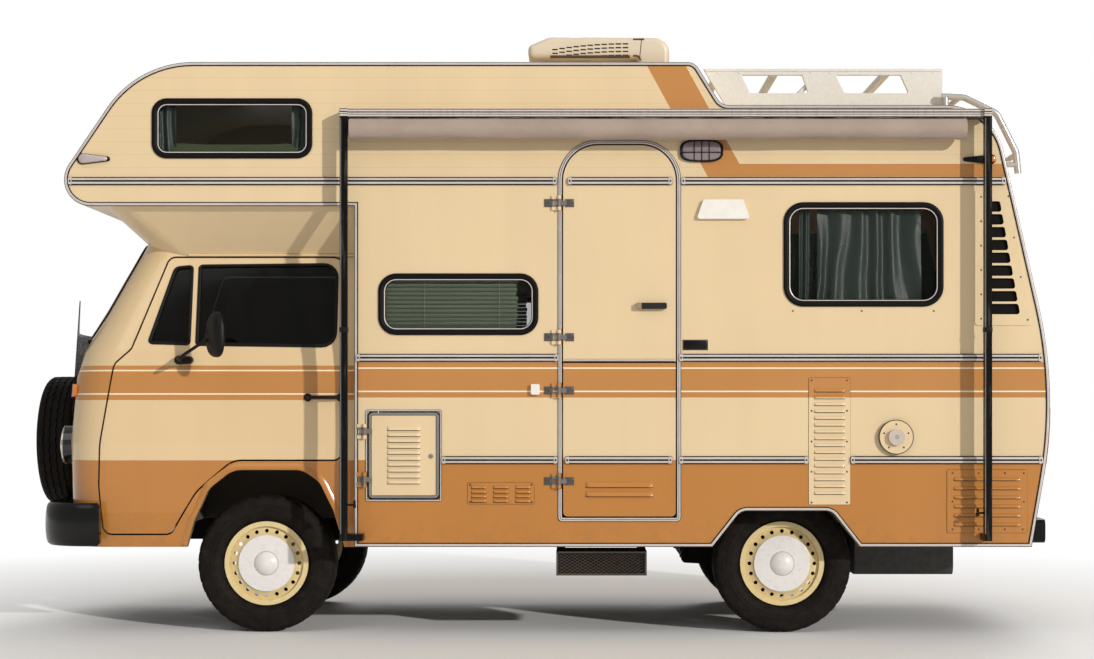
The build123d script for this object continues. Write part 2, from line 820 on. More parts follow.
# Chassis rails and cross members under the floors
# Cross members, as shares of the rails' length from the front
cross_member_shares = [0.0, 0.22, 0.48, 0.66, 1.0]
with BuildPart() as chassis_frame:
    rail_length = rail_back_x - rail_front_x
    with BuildSketch(Plane.XY.offset(floor_height - rail_height)):
        with Locations((rail_front_x + rail_length / 2, 0)):
            with GridLocations(0, 2 * rail_inner + rail_width, 1, 2):
                Rectangle(rail_length, rail_width)
        for share in cross_member_shares:
            with Locations((rail_front_x + rail_width / 2 + share * (rail_length - rail_width), 0)):
                Rectangle(rail_width, 2 * rail_inner)
    extrude(amount=rail_height)
finish(chassis_frame.part, "chassis_frame")

# Front axle: two torsion tubes on side plates, with a trailing arm from each tube to the kingpin
axle_tube_radius = 30
axle_tube_setback = 110
axle_tube_low = 255
axle_tube_high = 375
axle_tube_half = 450
axle_plate_length = 90
axle_plate_thickness = 20
kingpin_side = 590
kingpin_radius = 16
arm_thickness = 24
arm_width = 56
knuckle_gap = 5
hub_height = tyre_radius
hub_radius = 30
hub_bore_inner = 30
hub_bore_outer = 40
stub_reach = 35
axle_x = front_axle_x - axle_tube_setback
with BuildPart() as front_axle_beam:
    for height in (axle_tube_low, axle_tube_high):
        with BuildSketch(side_plane(axle_tube_half)):
            with Locations((axle_x, height)):
                Circle(axle_tube_radius)
        extrude(amount=2 * axle_tube_half)
        for side in (-1, 1):
            arm_root = Vector(axle_x, side * (axle_tube_half - arm_width / 2))
            arm_eye = Vector(front_axle_x, side * kingpin_side)
            arm_turn = degrees(atan2(arm_eye.Y - arm_root.Y, arm_eye.X - arm_root.X))
            with BuildSketch(Plane.XY.offset(height - arm_thickness / 2)):
                with Locations((arm_root + arm_eye) / 2):
                    SlotCenterToCenter((arm_eye - arm_root).length, arm_width, rotation=arm_turn)
                with Locations(arm_eye):
                    Circle(kingpin_radius + seat_clearance, mode=Mode.SUBTRACT)
            extrude(amount=arm_thickness)
    for side in (-1, 1):
        plate_y = side * (rail_inner + rail_width / 2)
        with BuildSketch(side_plane(plate_y + axle_plate_thickness / 2)):
            with Locations((axle_x, (axle_tube_low - axle_tube_radius + floor_height - rail_height) / 2)):
                Rectangle(axle_plate_length, floor_height - rail_height - axle_tube_low + axle_tube_radius)
        extrude(amount=axle_plate_thickness)
finish(front_axle_beam.part, "front_axle_beam")

# Front knuckle: a kingpin through both arm eyes and a stub axle out to the wheel
knuckle_length = 70
pin_overhang = 10
with BuildPart() as front_knuckle_left:
    knuckle_low = axle_tube_low + arm_thickness / 2 + knuckle_gap
    knuckle_high = axle_tube_high - arm_thickness / 2 - knuckle_gap
    with BuildSketch(Plane.XY.offset(knuckle_low)):
        with Locations((front_axle_x, -kingpin_side)):
            Circle(kingpin_radius * 2)
    extrude(amount=knuckle_high - knuckle_low)
    with BuildSketch(Plane.XY.offset(axle_tube_low - arm_thickness / 2 - pin_overhang)):
        with Locations((front_axle_x, -kingpin_side)):
            Circle(kingpin_radius)
    extrude(amount=axle_tube_high - axle_tube_low + arm_thickness + 2 * pin_overhang)
    with BuildSketch(side_plane(-kingpin_side)):
        with Locations((front_axle_x, hub_height)):
            Circle(hub_radius - seat_clearance)
    extrude(amount=front_track / 2 + stub_reach - kingpin_side)
finish(front_knuckle_left.part, "front_knuckle_left")
finish(mirror(front_knuckle_left.part, about=Plane.XZ), "front_knuckle_right")

# Rear axle: the gearbox on the centre line, its half shafts and the trailing arms
gearbox_radius = 120
gearbox_front_ahead_of_rear_axle = 150
gearbox_front_x = rear_axle_x - gearbox_front_ahead_of_rear_axle
engine_front_from_rear_axle = 400
engine_front_x = rear_axle_x + engine_front_from_rear_axle
trailing_arm_front_ahead_of_rear_axle = 420
trailing_arm_front_x = rear_axle_x - trailing_arm_front_ahead_of_rear_axle
trailing_arm_side = 500
trailing_arm_height = 80
trailing_arm_width = 50
cross_tube_radius = 35
arm_rise = 20
with BuildPart() as rear_axle:
    with BuildSketch(Plane.YZ.offset(gearbox_front_x)):
        with Locations((0, hub_height)):
            Circle(gearbox_radius)
    extrude(amount=engine_front_x - gearbox_front_x)
    fillet(faces().sort_by(Axis.X)[0].edges(), radius=gearbox_radius / 3)
    with BuildSketch(side_plane(rear_track / 2 + stub_reach)):
        with Locations((rear_axle_x, hub_height)):
            Circle(hub_radius - seat_clearance)
    extrude(amount=rear_track + 2 * stub_reach)
    for side in (-1, 1):
        with BuildSketch(side_plane(side * trailing_arm_side + trailing_arm_width / 2)):
            with BuildLine():
                FilletPolyline(
                    (trailing_arm_front_x - cross_tube_radius, hub_height + arm_rise - cross_tube_radius),
                    (rear_axle_x + trailing_arm_height, hub_height - trailing_arm_height / 2),
                    (rear_axle_x + trailing_arm_height, hub_height + trailing_arm_height / 2),
                    (trailing_arm_front_x - cross_tube_radius, hub_height + arm_rise + cross_tube_radius),
                    radius=trailing_arm_height / 4,
                    close=True,
                )
            make_face()
        extrude(amount=trailing_arm_width)
        with BuildSketch(side_plane(side * (rail_inner + rail_width / 2) + rail_width / 2)):
            with Locations((trailing_arm_front_x, (hub_height + floor_height - rail_height) / 2)):
                Rectangle(2 * cross_tube_radius, floor_height - rail_height - hub_height)
        extrude(amount=rail_width)
    with BuildSketch(side_plane(trailing_arm_side)):
        with Locations((trailing_arm_front_x, hub_height + arm_rise)):
            Circle(cross_tube_radius)
    extrude(amount=2 * trailing_arm_side)
finish(rear_axle.part, "rear_axle")

# Engine, one plain block behind the gearbox
engine_length = 480
engine_width = 640
engine_low = 230
engine_top = 700
engine_corner = 40
with BuildPart() as engine_block:
    with BuildSketch(Plane.YZ.offset(engine_front_x)):
        with Locations((0, (engine_low + engine_top) / 2)):
            RectangleRounded(engine_width, engine_top - engine_low, engine_corner)
    extrude(amount=engine_length)
finish(engine_block.part, "engine_block")

# Wheels. Profiles are drawn as distance from the axle and distance outward from the wheel's middle
tyre_bulge_radius = 255
shoulder_radius = 306
shoulder_half = 84
tread_half = 68
bead_radius = 178
flange_radius = 195
rim_width = 140
rim_sheet = 6
cap_radius = 130
cap_dome_radius = 55
cap_edge_reach = 72
cap_dome_reach = 96
hub_outer_radius = 60
rim_vent_count = 20
rim_vent_radius = 9
rim_vent_ring_radius = 151


def wheel_plane(centre, outward):
    """The plane through a wheel's axle whose own axes are up and outward."""
    return Plane(origin=centre, x_dir=(0, 0, 1), z_dir=Vector(0, 0, 1).cross(Vector(outward)))


def tyre_solid(centre, outward):
    """A tyre between the rim's flanges, with bulged walls and a flat tread."""
    bead_half = rim_width / 2 - rim_sheet - seat_clearance
    with BuildPart() as tyre:
        with BuildSketch(wheel_plane(centre, outward)):
            with BuildLine():
                for side in (-1, 1):
                    Polyline(
                        (bead_radius + seat_clearance, 0),
                        (bead_radius + seat_clearance, side * bead_half),
                        (flange_radius + rim_sheet, side * bead_half),
                    )
                    ThreePointArc(
                        (flange_radius + rim_sheet, side * bead_half),
                        (tyre_bulge_radius, side * tyre_width / 2),
                        (shoulder_radius, side * shoulder_half),
                    )
                    Polyline(
                        (shoulder_radius, side * shoulder_half),
                        (tyre_radius, side * tread_half),
                        (tyre_radius, 0),
                    )
            make_face()
        revolve(axis=Axis(centre, outward))
    return tyre.part


def rim_solid(centre, outward):
    """A dished steel rim with its hub on the inner side and a domed cap on the outer."""
    half = rim_width / 2
    barrel = bead_radius - rim_sheet
    seat = cap_edge_reach - 2 * rim_sheet
    with BuildPart() as rim:
        with BuildSketch(wheel_plane(centre, outward)):
            with BuildLine():
                Polyline(
                    (cap_dome_radius, cap_edge_reach + rim_sheet / 2),
                    (cap_radius, cap_edge_reach),
                    (cap_radius, seat + rim_sheet),
                    (barrel, half - 3 * rim_sheet),
                    (barrel, half),
                    (flange_radius, half),
                    (flange_radius, half - rim_sheet),
                    (bead_radius, half - rim_sheet),
                    (bead_radius, rim_sheet - half),
                    (flange_radius, rim_sheet - half),
                    (flange_radius, -half),
                    (barrel, -half),
                    (barrel, half - 4 * rim_sheet),
                    (cap_radius, seat),
                    (hub_outer_radius, seat),
                    (hub_outer_radius, -hub_bore_inner),
                    (hub_radius, -hub_bore_inner),
                    (hub_radius, hub_bore_outer),
                    (0, hub_bore_outer),
                    (0, cap_dome_reach),
                )
                dome_rise = cap_dome_reach - cap_edge_reach - rim_sheet / 2
                dome_radius = (cap_dome_radius**2 + dome_rise**2) / (2 * dome_rise)
                RadiusArc((0, cap_dome_reach), (cap_dome_radius, cap_edge_reach + rim_sheet / 2), dome_radius)
            make_face()
        revolve(axis=Axis(centre, outward))
        vent_start = Vector(centre) + Vector(outward) * (seat - 3 * rim_sheet)
        with BuildSketch(Plane(origin=vent_start, z_dir=Vector(outward))):
            with PolarLocations(rim_vent_ring_radius, rim_vent_count):
                Circle(rim_vent_radius)
        extrude(amount=6 * rim_sheet, mode=Mode.SUBTRACT)
    return rim.part


# Columns: name, place along, track
axles = [("front", front_axle_x, front_track), ("rear", rear_axle_x, rear_track)]
for axle_name, place, track in axles:
    for side_name, side in (("left", -1), ("right", 1)):
        centre = (place, side * track / 2, hub_height)
        finish(tyre_solid(centre, (0, side, 0)), f"tyre_{axle_name}_{side_name}")
        finish(rim_solid(centre, (0, side, 0)), f"rim_{axle_name}_{side_name}")

# Spare wheel on the nose
spare_gap = 21
spare_height = 881
spare_carrier_radius = 50
spare_centre = (cab_nose_x - spare_gap - tyre_width / 2, 0, spare_height)
finish(tyre_solid(spare_centre, (-1, 0, 0)), "spare_tyre")
spare_rim = rim_solid(spare_centre, (-1, 0, 0))
with BuildPart() as spare_carrier:
    with BuildSketch(Plane.YZ.offset(spare_centre[0] + hub_bore_inner - rim_sheet)):
        with Locations((0, spare_height)):
            Circle(spare_carrier_radius)
    extrude(amount=cab_nose_x - seat_clearance - spare_centre[0] - hub_bore_inner + rim_sheet)
finish(spare_rim + spare_carrier.part, "spare_rim")

# Bumpers
bumper_low = 420
bumper_high = 596
bumper_stand = 105
bumper_sheet = 30
bumper_wrap_from_nose = 251
bumper_wrap_x = cab_nose_x + bumper_wrap_from_nose
bumper_corner_radius = 224
bumper_nose_share, bumper_corner_share = 0.014, 0.080
with BuildPart() as front_bumper:
    for inset, mode in ((bumper_stand, Mode.ADD), (bumper_stand - bumper_sheet, Mode.SUBTRACT)):
        band = nose_section(
            bumper_low,
            cab_x(bumper_nose_share) - inset,
            cab_x(bumper_corner_share) - inset,
            cab_half + (inset - bumper_stand) + 2 * bumper_sheet,
            bumper_corner_radius,
            bumper_wrap_x + (cut_overrun if mode == Mode.SUBTRACT else 0),
        )
        extrude(band, amount=bumper_high - bumper_low, mode=mode)
    with BuildSketch(Plane.YZ.offset(cab_nose_x - bumper_stand - tyre_width)):
        with Locations((0, spare_height)):
            Circle(tyre_radius + door_clearance)
    extrude(amount=2 * tyre_width, mode=Mode.SUBTRACT)
    add(cab_solid(-seat_clearance), mode=Mode.SUBTRACT)
    with BuildSketch(Plane.YZ.offset(cab_x(bumper_nose_share) - bumper_stand + bumper_sheet)):
        with Locations(
            (-(rail_inner + rail_width / 2), floor_height - rail_height / 2),
            (rail_inner + rail_width / 2, floor_height - rail_height / 2),
        ):
            Rectangle(bumper_bracket, bumper_bracket)
    extrude(amount=rail_front_x - cab_x(bumper_nose_share) + bumper_stand - bumper_sheet)
finish(front_bumper.part, "front_bumper")

rear_bumper_depth = 60
rear_bumper_height = 110
rear_bumper_width = 1700
rear_bumper_low = 420
rear_bumper_gap = 8
rear_wall_foot_x = rear_axle_x + rear_overhang
with BuildPart() as rear_bumper:
    with BuildSketch(Plane.YZ.offset(rear_wall_foot_x + rear_bumper_depth / 2)):
        with Locations((0, rear_bumper_low + rear_bumper_height / 2)):
            RectangleRounded(rear_bumper_width, rear_bumper_height, rear_bumper_height / 4)
    extrude(amount=rear_bumper_depth)
    with BuildSketch(Plane.YZ.offset(rail_back_x)):
        with Locations(
            (-(rail_inner + rail_width / 2), skirt_height + bumper_bracket / 2),
            (rail_inner + rail_width / 2, skirt_height + bumper_bracket / 2),
        ):
            Rectangle(bumper_bracket, bumper_bracket)
    extrude(amount=rear_wall_foot_x + rear_bumper_depth - rail_back_x)
finish(rear_bumper.part, "rear_bumper")

# Headlamps, turned bowls with a domed lens, let into the nose
headlamp_dome = 25
with BuildPart() as headlamps:
    for side in (-1, 1):
        lamp_centre = (headlamp_front_x, side * headlamp_side, headlamp_height)
        with BuildSketch(Plane(origin=lamp_centre, x_dir=(0, 0, 1), z_dir=(0, 1, 0))):
            with BuildLine():
                lens_radius = (headlamp_radius**2 + headlamp_dome**2) / (2 * headlamp_dome)
                RadiusArc((0, -headlamp_dome), (headlamp_radius, 0), -lens_radius)
                Polyline(
                    (headlamp_radius, 0),
                    (headlamp_radius, headlamp_depth),
                    (0, headlamp_depth),
                    (0, -headlamp_dome),
                )
            make_face()
        revolve(axis=Axis(lamp_centre, (1, 0, 0)))
finish(headlamps.part, "headlamps")

# Air grille across the nose: slats that follow it, cut for the spare wheel carrier
nose_grille_half = 490
nose_grille_low = 800
nose_slat_count = 6
nose_slat_height = 10
nose_slat_pitch = 26
nose_slat_proud = 10
nose_grille_frame = 12
nose_grille_tall = (nose_slat_count - 1) * nose_slat_pitch + nose_slat_height + 2 * nose_grille_frame
nose_grille_middle = nose_grille_low + nose_grille_tall / 2
with BuildPart() as nose_grille:
    with BuildSketch(Plane.YZ.offset(cab_nose_x - cut_overrun)):
        with Locations((0, nose_grille_middle)):
            Rectangle(2 * nose_grille_half, nose_grille_tall)
            opening_half = nose_grille_half - nose_grille_frame
            opening_tall = nose_grille_tall - 2 * nose_grille_frame
            Rectangle(2 * opening_half, opening_tall, mode=Mode.SUBTRACT)
            with GridLocations(0, nose_slat_pitch, 1, nose_slat_count):
                Rectangle(2 * nose_grille_half, nose_slat_height)
        with Locations((0, spare_height)):
            Circle(spare_carrier_radius + seat_clearance, mode=Mode.SUBTRACT)
    extrude(amount=rail_front_x - cab_nose_x)
    add(cab_solid(-nose_slat_proud), mode=Mode.INTERSECT)
    add(cab_outer, mode=Mode.SUBTRACT)
finish(nose_grille.part, "nose_grille")

# Front indicators, set on the nose below the windscreen
indicator_side = 700
indicator_height = 1125
indicator_width = 90
indicator_tall = 60
indicator_proud = 16
with BuildPart() as front_indicators:
    for side in (-1, 1):
        with BuildSketch(Plane.YZ.offset(cab_nose_x - indicator_proud)):
            with Locations((side * indicator_side, indicator_height)):
                RectangleRounded(indicator_width, indicator_tall, indicator_tall / 4)
        extrude(amount=rail_front_x - cab_nose_x)
    add(cab_solid(-indicator_proud), mode=Mode.INTERSECT)
    add(cab_outer, mode=Mode.SUBTRACT)
finish(front_indicators.part, "front_indicators")

# Smoked stone guard in front of the windscreen's foot, its ends swept up
guard_low = 1007
guard_high = 1603
guard_middle_high = 1400
guard_half = 620
guard_sheet = 5
guard_stand = 15
guard_top_lean = 40
guard_bow = 68
guard_horn = 120
guard_corner = 40


def guard_band(height, lean, inset):
    """One level outline of the guard: a bowed front with its open back behind it."""
    nose_x = cab_nose_x - guard_stand + lean + inset
    with BuildSketch(Plane.XY.offset(height)) as band:
        with BuildLine():
            ThreePointArc((nose_x + guard_bow, -guard_half), (nose_x, 0), (nose_x + guard_bow, guard_half))
            back_x = nose_x + 3 * guard_bow
            Polyline(
                (nose_x + guard_bow, guard_half),
                (back_x, guard_half),
                (back_x, -guard_half),
                (nose_x + guard_bow, -guard_half),
            )
        make_face()
    return band.sketch.face()


def guard_form(inset):
    """The guard's filled form, its front moved back by inset."""
    return loft([guard_band(guard_low, 0, inset), guard_band(guard_high, guard_top_lean, inset)], ruled=True)


guard_outer = guard_form(0)
guard_inner = guard_form(guard_sheet)
guard_corners = [
    (-guard_half, guard_low),
    (guard_half, guard_low),
    (guard_half, guard_high),
    (guard_half - guard_horn, guard_middle_high),
    (guard_horn - guard_half, guard_middle_high),
    (-guard_half, guard_high),
]
guard_radii = [guard_corner, guard_corner, guard_corner / 2, guard_corner, guard_corner, guard_corner / 2]
guard_clip_side = 560
guard_clip_size = 30
guard_clip_heights = [1022, 1146]
with BuildPart() as guard_clips:
    with BuildSketch(Plane.YZ.offset(cab_nose_x - guard_stand)):
        for side in (-1, 1):
            with Locations(*[(side * guard_clip_side, height) for height in guard_clip_heights]):
                Rectangle(guard_clip_size, guard_clip_size)
    extrude(amount=3 * guard_bow)
    add(guard_inner, mode=Mode.INTERSECT)
    add(cab_solid(-2 * seat_clearance), mode=Mode.SUBTRACT)
with BuildPart() as stone_guard:
    guard_face = outline(Plane.YZ.offset(cab_nose_x - 2 * guard_bow), guard_corners, guard_radii)
    extrude(guard_face, amount=6 * guard_bow)
    add(guard_outer - guard_inner, mode=Mode.INTERSECT)
    add(guard_clips.part)
finish(stone_guard.part, "stone_guard")

# Dashboard with the steering column and wheel on the right
dash_back_share = 0.235
dash_back_x = cab_x(dash_back_share)
dash_top = 1290
dash_depth = 320
steering_side = 400
steering_radius = 200
steering_grip = 14
steering_share = 0.36
steering_x = cab_x(steering_share)
steering_height = 1180
steering_lean = 28
column_radius = 22
with BuildPart() as dashboard:
    add(cab_solid(cab_wall + seat_clearance))
    add(region(cab_nose_x, dash_back_x, dash_top - dash_depth, dash_top, cab_half), mode=Mode.INTERSECT)
    steering_plane = Plane(
        origin=(steering_x, steering_side, steering_height),
        x_dir=(0, 1, 0),
        z_dir=(cos(radians(90 - steering_lean)), 0, sin(radians(90 - steering_lean))),
    )
    with BuildSketch(steering_plane.offset(-steering_radius)):
        Circle(column_radius)
    extrude(amount=steering_radius)
    with BuildSketch(steering_plane.offset(-steering_radius - dash_depth)):
        Circle(column_radius)
    extrude(amount=dash_depth)
    with BuildSketch(steering_plane.offset(-steering_grip / 2)):
        Circle(steering_grip * 3)
        Rectangle(2 * steering_grip, 2 * steering_radius)
        Rectangle(2 * steering_radius, 2 * steering_grip)
        Circle(steering_radius, mode=Mode.INTERSECT)
    extrude(amount=steering_grip)
    torus = Torus(steering_radius, steering_grip, mode=Mode.PRIVATE)
    add(steering_plane.location * torus)
    add(region(cab_nose_x, coach_front_x, cab_floor_top + seat_clearance, roof_height), mode=Mode.INTERSECT)
finish(dashboard.part, "dashboard")

# Cab seats on the wheel boxes
seat_width = 460
seat_length = 500
seat_cushion = 150
seat_back = 620
seat_back_thickness = 120
seat_side = 430
seat_corner = 50
seat_back_lean = 90
with BuildPart() as cab_seats:
    for side in (-1, 1):
        with BuildSketch(side_plane(side * seat_side + seat_width / 2)):
            seat_front = front_axle_x - seat_length / 2
            seat_rear = front_axle_x + seat_length / 2
            seat_low = cab_box_top + seat_clearance
            with BuildLine():
                FilletPolyline(
                    (seat_front, seat_low),
                    (seat_rear, seat_low),
                    (seat_rear + seat_back_lean, seat_low + seat_cushion + seat_back),
                    (seat_rear + seat_back_lean - seat_back_thickness, seat_low + seat_cushion + seat_back),
                    (seat_rear - seat_back_thickness, seat_low + seat_cushion),
                    (seat_front, seat_low + seat_cushion),
                    radius=seat_corner,
                    close=True,
                )
            make_face()
        extrude(amount=seat_width)
    add(cab_solid(cab_wall + 2 * cab_sheet, cut_overrun, 0), mode=Mode.INTERSECT)
finish(cab_seats.part, "cab_seats")

# Alcove mattress, curtains behind the panes
mattress_thickness = 120
mattress_gap = 30
with BuildPart() as alcove_mattress:
    mattress_low = alcove_floor_height + coach_wall + seat_clearance
    mattress_front = alcove_tip_x + 2 * alcove_tip_radius + mattress_gap
    mattress_length = coach_front_x - mattress_front
    with BuildSketch(Plane.XY.offset(mattress_low)):
        with Locations((mattress_front + mattress_length / 2, 0)):
            RectangleRounded(mattress_length, 2 * (wall_inner - mattress_gap), mattress_thickness)
    extrude(amount=mattress_thickness)
finish(alcove_mattress.part, "alcove_mattress")

curtain_thickness = 20
curtain_margin = 30
with BuildPart() as curtains:
    for x, z, length, height, corner in side_windows[1:]:
        with BuildSketch(side_plane(-wall_inner + curtain_thickness + seat_clearance)):
            with Locations((x, z)):
                Rectangle(length + 2 * curtain_margin, height + 2 * curtain_margin)
        extrude(amount=curtain_thickness)
    mirror(about=Plane.XZ)
finish(curtains.part, "curtains")

# Rear air intakes: slats across both grille openings
grille_slat_count = 9
grille_slat_height = 24
grille_frame = 24
grille_proud = 6
with BuildPart() as grille_left:
    extrude(grille_face(-seat_clearance), amount=coach_wall + grille_proud)
    extrude(grille_face(-grille_frame), amount=coach_wall + grille_proud, mode=Mode.SUBTRACT)
    grille_pitch = (grille_top_height - grille_bottom_height) / grille_slat_count
    with BuildPart() as grille_slats:
        extrude(grille_face(-grille_frame / 2), amount=coach_wall)
        with BuildSketch(side_plane(-wall_inner)):
            with Locations((grille_front_x, (grille_top_height + grille_bottom_height) / 2)):
                with GridLocations(0, grille_pitch, 1, grille_slat_count):
                    Rectangle(rear_overhang, grille_slat_height)
        extrude(amount=coach_wall, mode=Mode.INTERSECT)
    add(grille_slats.part)
finish(grille_left.part + mirror(grille_left.part, about=Plane.XZ), "rear_air_grilles")

# Louvred plates on the walls
plate_thickness = 4
plate_louvre_proud = 8
tall_plate_length = 189
tall_plate_height = 578
tall_plate_from_rear_axle = 197
tall_plate_x = rear_axle_x + tall_plate_from_rear_axle
tall_plate_above_skirt = 482
tall_plate_z = skirt_height + tall_plate_above_skirt
low_plate_length = 330
low_plate_height = 280
low_plate_from_rear_axle = 920
low_plate_x = rear_axle_x + low_plate_from_rear_axle
low_plate_above_skirt = 210
low_plate_z = skirt_height + low_plate_above_skirt
small_plate_length = 303
small_plate_height = 97
small_plate_from_front = 669
small_plate_x = coach_front_x + small_plate_from_front
small_plate_above_skirt = 244
small_plate_z = skirt_height + small_plate_above_skirt
# Columns: place along, height of middle, length, height
louvre_plates_table = [
    (tall_plate_x, tall_plate_z, tall_plate_length, tall_plate_height),
    (low_plate_x, low_plate_z, low_plate_length, low_plate_height),
    (small_plate_x, small_plate_z, small_plate_length, small_plate_height),
]
louvre_counts = [16, 6, 4]
louvre_margin_share = 0.88
louvre_fill_share = 0.35
with BuildPart() as louvre_plates:
    for (x, z, length, height), louvre_count in zip(louvre_plates_table, louvre_counts):
        with BuildSketch(side_plane(-coach_half)):
            with Locations((x, z)):
                RectangleRounded(length, height, plate_louvre_proud)
        extrude(amount=plate_thickness)
        pitch = height * louvre_margin_share / louvre_count
        with BuildSketch(side_plane(-coach_half)):
            with Locations((x, z)):
                with GridLocations(0, pitch, 1, louvre_count):
                    Rectangle(length * louvre_margin_share, pitch * louvre_fill_share)
        extrude(amount=plate_louvre_proud)
finish(louvre_plates.part, "louvre_plates")

# Lamps. Marker lamps on the upper walls and a porch lamp by the door
marker_length = 150
marker_height = 50
marker_proud = 25
marker_above_alcove_floor = 215
marker_z = alcove_floor_height + marker_above_alcove_floor
front_marker_from_tip = 243
front_marker_x = alcove_tip_x + front_marker_from_tip
rear_marker_from_rear_axle = 880
rear_marker_x = rear_axle_x + rear_marker_from_rear_axle
porch_length = 197
porch_height = 100
porch_from_door = 117
porch_x = entrance_x + entrance_length / 2 + porch_from_door
porch_above_sill = 1665
porch_z = entrance_bottom + porch_above_sill
with BuildPart() as marker_lamps:
    with BuildSketch(side_plane(-coach_half)):
        with Locations((front_marker_x, marker_z), (rear_marker_x, marker_z)):
            SlotOverall(marker_length, marker_height)
    extrude(amount=marker_proud)
    mirror(about=Plane.XZ)
    with BuildSketch(side_plane(-coach_half)):
        with Locations((porch_x, porch_z)):
            Ellipse(porch_length / 2, porch_height / 2)
    extrude(amount=marker_proud)
finish(marker_lamps.part, "marker_lamps")

tail_lamp_width = 110
tail_lamp_height = 330
tail_lamp_above_skirt = 480
tail_lamp_z = skirt_height + tail_lamp_above_skirt
tail_lamp_inset = 150
tail_lamp_side = coach_half - tail_lamp_inset
tail_lamp_proud = 24
with BuildPart() as tail_lamps:
    tail_face = outline(side_plane(wall_inner), wrap_corners, wrap_radii, tail_lamp_proud)
    extrude(tail_face, amount=2 * wall_inner)
    add(wrap_solid.part, mode=Mode.SUBTRACT)
    with BuildSketch(Plane.YZ.offset(shell_split_x)):
        with Locations((-tail_lamp_side, tail_lamp_z), (tail_lamp_side, tail_lamp_z)):
            RectangleRounded(tail_lamp_width, tail_lamp_height, tail_lamp_proud)
    extrude(amount=rear_waist_overhang, mode=Mode.INTERSECT)
finish(tail_lamps.part, "tail_lamps")

# Small fittings on the left wall: water filler, roof vent cap, power socket
filler_radius = 79
filler_cap_radius = 37
filler_from_rear_axle = 499
filler_x = rear_axle_x + filler_from_rear_axle
filler_above_skirt = 501
filler_z = skirt_height + filler_above_skirt
vent_cap_length = 243
vent_cap_head = 180
vent_cap_height = 88
vent_cap_from_door = 216
vent_cap_x = entrance_x + entrance_length / 2 + vent_cap_from_door
vent_cap_above_sill = 1355
vent_cap_z = entrance_bottom + vent_cap_above_sill
socket_length = 40
socket_height = 48
socket_from_front = 826
socket_x = coach_front_x + socket_from_front
socket_above_skirt = 718
socket_z = skirt_height + socket_above_skirt
fitting_proud = 20
with BuildPart() as side_fittings:
    with BuildSketch(side_plane(-coach_half)):
        with Locations((filler_x, filler_z)):
            Circle(filler_radius)
        with Locations((socket_x, socket_z)):
            RectangleRounded(socket_length, socket_height, socket_length / 6)
        with BuildLine():
            FilletPolyline(
                (vent_cap_x - vent_cap_length / 2, vent_cap_z),
                (vent_cap_x + vent_cap_length / 2, vent_cap_z),
                (vent_cap_x + vent_cap_head / 2, vent_cap_z + vent_cap_height),
                (vent_cap_x - vent_cap_head / 2, vent_cap_z + vent_cap_height),
                radius=vent_cap_height / 8,
                close=True,
            )
        make_face()
    extrude(amount=fitting_proud)
    with BuildSketch(side_plane(-coach_half)):
        with Locations((filler_x, filler_z)):
            Circle(filler_cap_radius)
    extrude(amount=2 * fitting_proud)
finish(side_fittings.part, "side_fittings")

# Awning: a wall rail, two poles stowed against the body and the rolled canvas
awning_rail_ahead_of_front = 58
awning_rail_start = coach_front_x - awning_rail_ahead_of_front
awning_rail_end_from_rear_axle = 809
awning_rail_end = rear_axle_x + awning_rail_end_from_rear_axle
awning_roll_radius = 54
awning_roll_start_ahead_of_front = 17
awning_roll_start = coach_front_x - awning_roll_start_ahead_of_front
awning_roll_below_roof = 317
awning_roll_z = roof_height - awning_roll_below_roof
awning_roll_stand = 85
awning_rail_height = 38
awning_rail_proud = awning_roll_stand
pole_size = 34
pole_low = 443
pole_front_ahead_of_front = 37
pole_front_x = coach_front_x - pole_front_ahead_of_front
pole_rear_from_rear_axle = 901
pole_rear_x = rear_axle_x + pole_rear_from_rear_axle
pole_foot_height = 30
roll_y = -(coach_half + awning_roll_stand)
with BuildPart() as awning_frame:
    rail_low = awning_roll_z + awning_roll_radius + seat_clearance
    rail_end = pole_rear_x + pole_size / 2
    with BuildSketch(side_plane(-coach_half)):
        with Locations(((awning_rail_start + rail_end) / 2, rail_low + awning_rail_height / 2)):
            Rectangle(rail_end - awning_rail_start, awning_rail_height)
    extrude(amount=awning_rail_proud)
    for x in (pole_front_x, pole_rear_x):
        with BuildSketch(Plane.XY.offset(pole_low)):
            with Locations((x, roll_y)):
                Rectangle(pole_size, pole_size)
        extrude(amount=rail_low + awning_rail_height - pole_low)
        with BuildSketch(Plane.XY.offset(rail_low)):
            with Locations((x, roll_y / 2 - coach_half / 2)):
                Rectangle(pole_size, awning_roll_stand)
        extrude(amount=awning_rail_height)
    # Foot brackets out from the wall
    for x, reach in ((pole_front_x, pole_size * 2), (pole_rear_x, 0)):
        with BuildSketch(Plane.XY.offset(pole_low)):
            with Locations((x + reach / 2, (roll_y - coach_half) / 2)):
                Rectangle(pole_size + reach, awning_roll_stand)
        extrude(amount=pole_foot_height)
finish(awning_frame.part, "awning_frame")

with BuildPart() as awning_roll:
    with BuildSketch(Plane.YZ.offset(awning_roll_start)):
        with Locations((roll_y, awning_roll_z)):
            Circle(awning_roll_radius)
    extrude(amount=awning_rail_end - awning_roll_start)
finish(awning_roll.part, "awning_roll")

